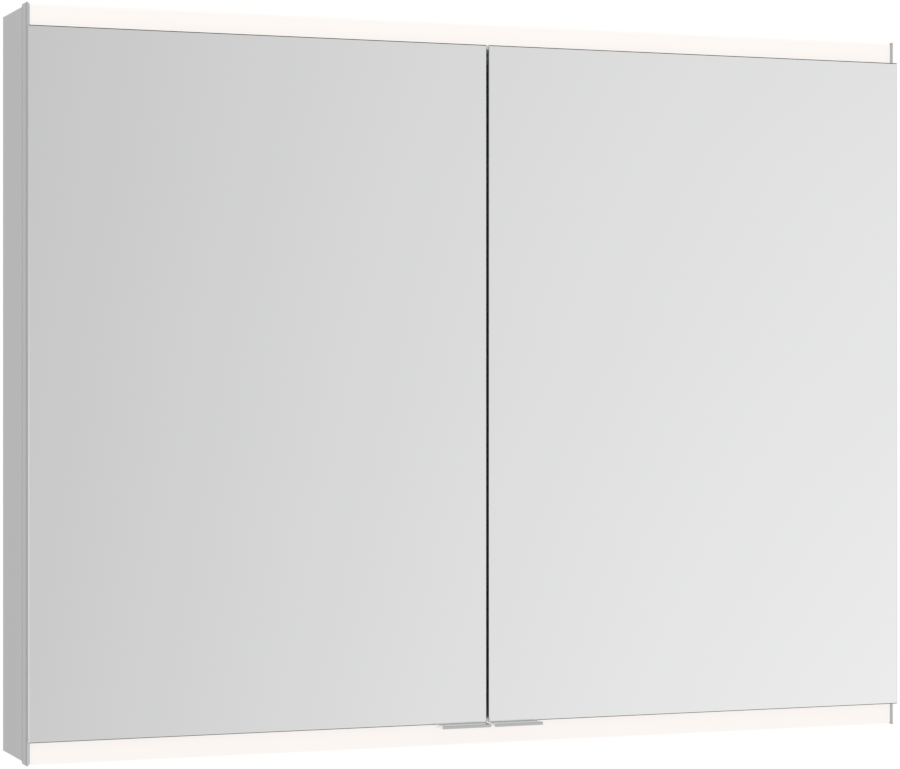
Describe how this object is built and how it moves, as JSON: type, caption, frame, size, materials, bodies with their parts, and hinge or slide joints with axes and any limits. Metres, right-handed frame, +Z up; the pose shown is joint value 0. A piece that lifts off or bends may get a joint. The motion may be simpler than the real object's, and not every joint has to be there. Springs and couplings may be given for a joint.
{
  "type": "mirror cabinet",
  "caption": "Wall-hung bathroom mirror cabinet: aluminium casing, hinged mirror doors with small edge handles, lit opal strips above and below, glass shelves inside.",
  "frame": {"origin": "middle of the wall plane, behind the centre of the cabinet", "axes": "+X to the right seen from the front, +Y into the wall (the doors face -Y), +Z up"},
  "size_m": [0.9012, 0.134, 0.7],
  "materials": {
    "casing_aluminium": "satin anodised sheet",
    "frame_aluminium": "satin anodised extrusion",
    "channel_aluminium": "mill finish extrusion",
    "handle_aluminium": "polished anodised extrusion",
    "rear_aluminium": "mill finish sheet",
    "zinc_sheet": "galvanised sheet",
    "inner_lacquer": "light grey lacquer",
    "door_mirror": "silvered on both outer faces",
    "back_mirror": "silvered back wall",
    "shelf_glass": "clear, ground edges",
    "opal_acrylic": "opal, lit from inside",
    "light_board": "white board",
    "light_chip": "light chip",
    "hinge_nickel": "satin nickel plate",
    "pin_steel": "ground steel",
    "pad_rubber": "moulded",
    "seal_rubber": "extruded lip",
    "clear_bumper": "clear polyurethane",
    "supply_plastic": "moulded",
    "terminal_plastic": "moulded",
    "lead_sheath": "sheathed lead",
    "socket_plastic": "light grey moulding",
    "rocker_plastic": "grey moulding"
  },
  "bodies": {
    "cabinet": {"bottom_cover": "casing_aluminium", "cable_grommet": "pad_rubber", "ceiling_board": "inner_lacquer", "door_bumpers": "clear_bumper", "floor_board": "inner_lacquer", "frame_profile_left": "frame_aluminium", "frame_profile_right": "frame_aluminium", "hanging_rail": "zinc_sheet", "hinge_base_left_lower": "hinge_nickel", "hinge_base_left_upper": "hinge_nickel", "hinge_base_right_lower": "hinge_nickel", "hinge_base_right_upper": "hinge_nickel", "hinge_pins": "pin_steel", "hinge_screws": "hinge_nickel", "led_board_bottom": "light_board", "led_board_top": "light_board", "led_chips_bottom": "light_chip", "led_chips_top": "light_chip", "light_channel_bottom": "channel_aluminium", "light_channel_top": "channel_aluminium", "light_supply": "supply_plastic", "lower_light_lead": "lead_sheath", "opal_cover_bottom": "opal_acrylic", "opal_cover_top": "opal_acrylic", "partition": "inner_lacquer", "partition_seal": "seal_rubber", "rear_channel": "zinc_sheet", "rear_mirror_left": "back_mirror", "rear_mirror_right": "back_mirror", "rear_panel": "rear_aluminium", "rocker_pin": "pin_steel", "shelf_left_lower": "shelf_glass", "shelf_left_upper": "shelf_glass", "shelf_pins": "hinge_nickel", "shelf_right_lower": "shelf_glass", "shelf_right_upper": "shelf_glass", "side_liner_left": "inner_lacquer", "side_liner_right": "inner_lacquer", "side_panel_left": "casing_aluminium", "side_panel_right": "casing_aluminium", "socket_housing": "socket_plastic", "socket_inserts": "socket_plastic", "supply_leads": "lead_sheath", "switch_frame": "socket_plastic", "terminal_block": "terminal_plastic", "top_cover": "casing_aluminium", "wall_pads": "pad_rubber", "wall_rail": "zinc_sheet"},
    "left_door": {"mirror_front_left": "door_mirror", "mirror_back_left": "door_mirror", "handle_left": "handle_aluminium", "hinge_arm_left_upper": "hinge_nickel", "hinge_arm_left_lower": "hinge_nickel"},
    "right_door": {"mirror_front_right": "door_mirror", "mirror_back_right": "door_mirror", "handle_right": "handle_aluminium", "hinge_arm_right_upper": "hinge_nickel", "hinge_arm_right_lower": "hinge_nickel"},
    "rocker": {"light_rocker": "rocker_plastic"}
  },
  "joints": [
    {"name": "left_door_hinge", "type": "hinge", "parent": "cabinet", "child": "left_door", "pos_m": [-0.444, -0.097, 0], "axis": [0, 0, -1], "range_deg": [0, 110]},
    {"name": "right_door_hinge", "type": "hinge", "parent": "cabinet", "child": "right_door", "pos_m": [0.444, -0.097, 0], "axis": [0, 0, 1], "range_deg": [0, 110]},
    {"name": "light_switch", "type": "hinge", "parent": "cabinet", "child": "rocker", "pos_m": [0.15, -0.058, 0.295], "axis": [1, 0, 0], "range_deg": [0, 12]}
  ]
}
